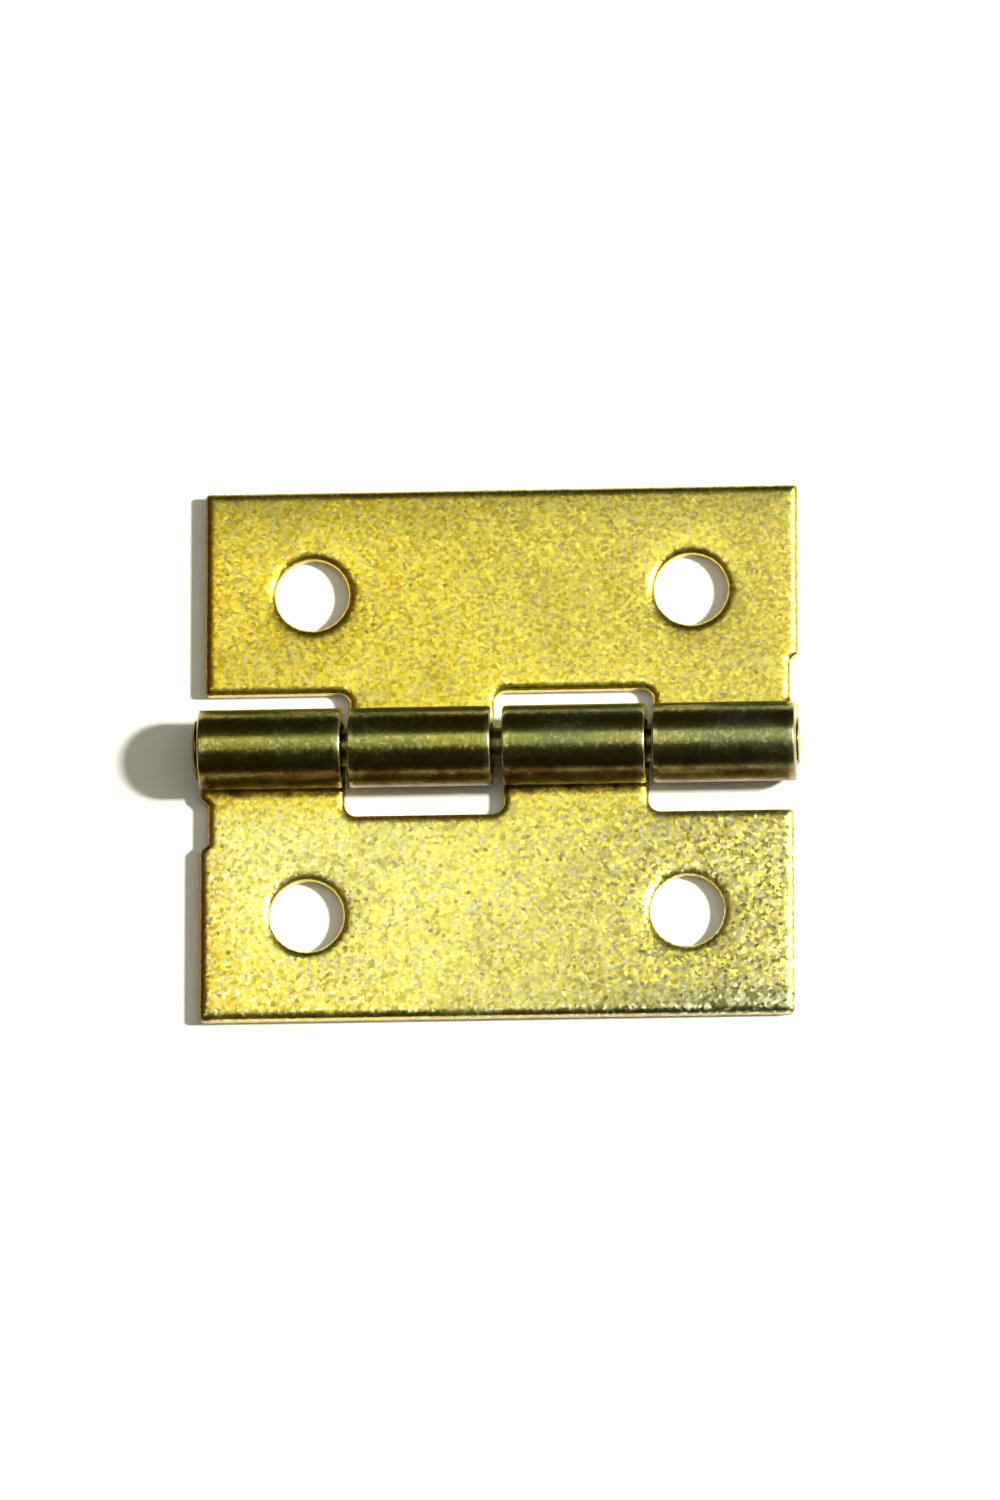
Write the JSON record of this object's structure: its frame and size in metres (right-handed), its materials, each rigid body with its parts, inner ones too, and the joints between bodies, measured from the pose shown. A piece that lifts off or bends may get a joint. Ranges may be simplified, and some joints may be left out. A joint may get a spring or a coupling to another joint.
{
  "type": "door hinge",
  "caption": "Small stamped butt hinge lying open flat, curled knuckles on a headed pin, plain round screw holes in both leaves.",
  "frame": {"origin": "on the plane of the leaves' backs, under the middle of the row of knuckles, with the hinge open flat", "axes": "+X along the pin away from its head, +Y from the frame leaf to the door leaf, +Z out of the front face, where the knuckles stand"},
  "size_m": [0.0256, 0.023, 0.0034],
  "materials": {
    "leaf_plating": "bright brass plate over steel strip, with a fine visible grain",
    "pin_plating": "brass plate over steel wire, tarnished dark on the head"
  },
  "bodies": {
    "frame_side": {"frame_leaf": "leaf_plating", "hinge_pin": "pin_plating"},
    "door_side": {"door_leaf": "leaf_plating"}
  },
  "joints": [
    {"name": "hinge_swing", "type": "hinge", "parent": "frame_side", "child": "door_side", "pos_m": [0, 0, 0.00168], "axis": [1, 0, 0], "range_deg": [-105, 187]}
  ]
}
